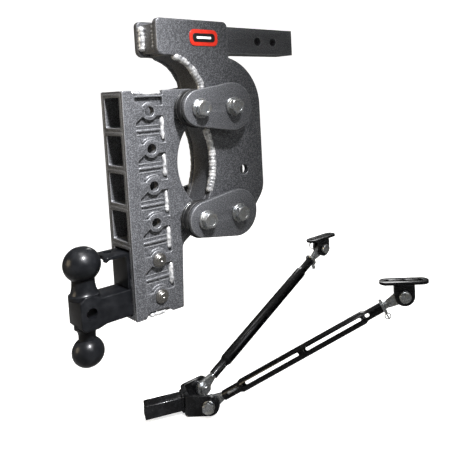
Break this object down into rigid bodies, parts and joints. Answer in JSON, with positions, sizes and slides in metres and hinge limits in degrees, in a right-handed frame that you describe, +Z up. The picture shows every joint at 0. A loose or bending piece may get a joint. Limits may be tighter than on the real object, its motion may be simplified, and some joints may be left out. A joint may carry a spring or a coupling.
{
  "type": "weight distribution hitch",
  "caption": "Drop hitch with a stacked receiver tower on sprung links, a double ball mount, and a pair of adjustable stabiliser struts",
  "frame": {"origin": "centre of the shank's end face, where it enters the tow vehicle", "axes": "+X towards the tow vehicle, +Y to the vehicle's left, +Z up"},
  "size_m": [0.8452, 0.4854, 0.828],
  "materials": {
    "powder_coat": "hammered gunmetal powder coat",
    "black_steel": "satin black powder coat",
    "gloss_black": "gloss black powder coat",
    "zinc": "bright zinc plating",
    "stainless": "turned stainless steel",
    "rubber": "moulded rubber between steel rings",
    "badge": "plain red enamel badge"
  },
  "bodies": {
    "frame": {"shank": "powder_coat", "frame_plate_right": "powder_coat", "frame_plate_left": "powder_coat", "frame_web": "powder_coat", "frame_badge": "badge", "frame_bush_upper_right": "rubber", "frame_bush_upper_left": "rubber", "frame_bush_lower_right": "rubber", "frame_bush_lower_left": "rubber"},
    "upper_links": {"upper_link_right": "powder_coat", "upper_link_left": "powder_coat", "upper_shaft_tower": "zinc", "upper_shaft_frame": "zinc", "upper_bolt_tower_right": "zinc", "upper_bolt_tower_left": "zinc", "upper_bolt_frame_right": "zinc", "upper_bolt_frame_left": "zinc"},
    "lower_links": {"lower_link_right": "powder_coat", "lower_link_left": "powder_coat", "lower_shaft_tower": "zinc", "lower_shaft_frame": "zinc", "lower_bolt_tower_right": "zinc", "lower_bolt_tower_left": "zinc", "lower_bolt_frame_right": "zinc", "lower_bolt_frame_left": "zinc"},
    "tower": {"receiver_tube_1": "powder_coat", "receiver_tube_2": "powder_coat", "receiver_tube_3": "powder_coat", "receiver_tube_4": "powder_coat", "receiver_tube_5": "powder_coat", "receiver_tube_6": "powder_coat", "tower_plate_right": "powder_coat", "tower_plate_left": "powder_coat", "tower_bush_upper_right": "rubber", "tower_bush_upper_left": "rubber", "tower_bush_lower_right": "rubber", "tower_bush_lower_left": "rubber", "ball_mount": "black_steel", "pintle_lock": "black_steel"},
    "ball_mount_pin": {"ball_mount_pin": "stainless"},
    "pintle_lock_pin": {"pintle_lock_pin": "stainless"},
    "stabilizer_base": {"stabilizer_tube": "gloss_black", "stabilizer_yoke": "gloss_black", "yoke_bolt_right": "zinc", "yoke_bolt_left": "zinc"},
    "strut_jaw_right": {"strut_jaw_right": "zinc"},
    "turnbuckle_right": {"turnbuckle_right": "gloss_black", "lock_ring_right": "zinc"},
    "strut_eye_right": {"strut_eye_right": "zinc"},
    "bracket_right": {"frame_bracket_right": "gloss_black", "bracket_pin_right": "zinc"},
    "bracket_clip_right": {"bracket_clip_right": "zinc"},
    "strut_jaw_left": {"strut_jaw_left": "zinc"},
    "turnbuckle_left": {"turnbuckle_left": "gloss_black", "lock_ring_left": "zinc"},
    "strut_eye_left": {"strut_eye_left": "zinc"},
    "bracket_left": {"frame_bracket_left": "gloss_black", "bracket_pin_left": "zinc"},
    "bracket_clip_left": {"bracket_clip_left": "zinc"}
  },
  "joints": [
    {"name": "upper_fold", "type": "hinge", "parent": "frame", "child": "upper_links", "pos_m": [-0.2005, 0, -0.1245], "axis": [0, 1, 0], "range_deg": [-10, 6], "stiffness_Nm_per_rad": 6000},
    {"name": "lower_fold", "type": "hinge", "parent": "frame", "child": "lower_links", "pos_m": [-0.2005, 0, -0.3202], "axis": [0, 1, 0], "range_deg": [-10, 6]},
    {"name": "tower_hinge", "type": "hinge", "parent": "upper_links", "child": "tower", "pos_m": [-0.2725, 0, -0.1245], "axis": [0, 1, 0], "range_deg": [-6, 10]},
    {"name": "ball_mount_pin_slide", "type": "slide", "parent": "tower", "child": "ball_mount_pin", "axis": [0, -1, 0], "range_m": [0, 0.11]},
    {"name": "pintle_lock_pin_slide", "type": "slide", "parent": "tower", "child": "pintle_lock_pin", "axis": [0, -1, 0], "range_m": [0, 0.11]},
    {"name": "stabilizer_slide", "type": "slide", "parent": "frame", "child": "stabilizer_base", "axis": [0, 1, 0], "range_m": [0, 0.3]},
    {"name": "strut_swing_right", "type": "hinge", "parent": "stabilizer_base", "child": "strut_jaw_right", "pos_m": [-0.16201, 0.11352, -0.773], "axis": [-0.7254, -0.6884, 0], "range_deg": [-28, 22]},
    {"name": "turnbuckle_turn_right", "type": "hinge", "parent": "strut_jaw_right", "child": "turnbuckle_right", "pos_m": [-0.16201, 0.11352, -0.773], "axis": [0.6078, -0.6405, 0.4695], "range_deg": [-362, 1082]},
    {"name": "strut_reach_right", "type": "slide", "parent": "strut_jaw_right", "child": "strut_eye_right", "axis": [0.6078, -0.6405, 0.4695], "range_m": [-0.00462, 0.01385]},
    {"name": "bracket_tilt_right", "type": "hinge", "parent": "strut_eye_right", "child": "bracket_right", "pos_m": [0.13398, -0.19839, -0.54437], "axis": [-0.7254, -0.6884, 0], "range_deg": [-30, 30]},
    {"name": "bracket_clip_slide_right", "type": "slide", "parent": "bracket_right", "child": "bracket_clip_right", "axis": [0, 0, 1], "range_m": [0, 0.028]},
    {"name": "strut_swing_left", "type": "hinge", "parent": "stabilizer_base", "child": "strut_jaw_left", "pos_m": [-0.13362, 0.18273, -0.773], "axis": [0.0332, -0.9995, 0], "range_deg": [-28, 22]},
    {"name": "turnbuckle_turn_left", "type": "hinge", "parent": "strut_jaw_left", "child": "turnbuckle_left", "pos_m": [-0.13362, 0.18273, -0.773], "axis": [0.8825, 0.0293, 0.4695], "range_deg": [-362, 1082]},
    {"name": "strut_reach_left", "type": "slide", "parent": "strut_jaw_left", "child": "strut_eye_left", "axis": [0.8825, 0.0293, 0.4695], "range_m": [-0.00462, 0.01385]},
    {"name": "bracket_tilt_left", "type": "hinge", "parent": "strut_eye_left", "child": "bracket_left", "pos_m": [0.29613, 0.19698, -0.54437], "axis": [0.0332, -0.9995, 0], "range_deg": [-30, 30]},
    {"name": "bracket_clip_slide_left", "type": "slide", "parent": "bracket_left", "child": "bracket_clip_left", "axis": [0, 0, 1], "range_m": [0, 0.028]}
  ],
  "couplings": [
    {"joint": "lower_fold", "follows": "upper_fold", "ratio": 1},
    {"joint": "tower_hinge", "follows": "upper_fold", "ratio": -1},
    {"joint": "turnbuckle_turn_right", "follows": "strut_reach_right", "rad_per_m": 1360.5},
    {"joint": "turnbuckle_turn_left", "follows": "strut_reach_left", "rad_per_m": 1360.5}
  ]
}
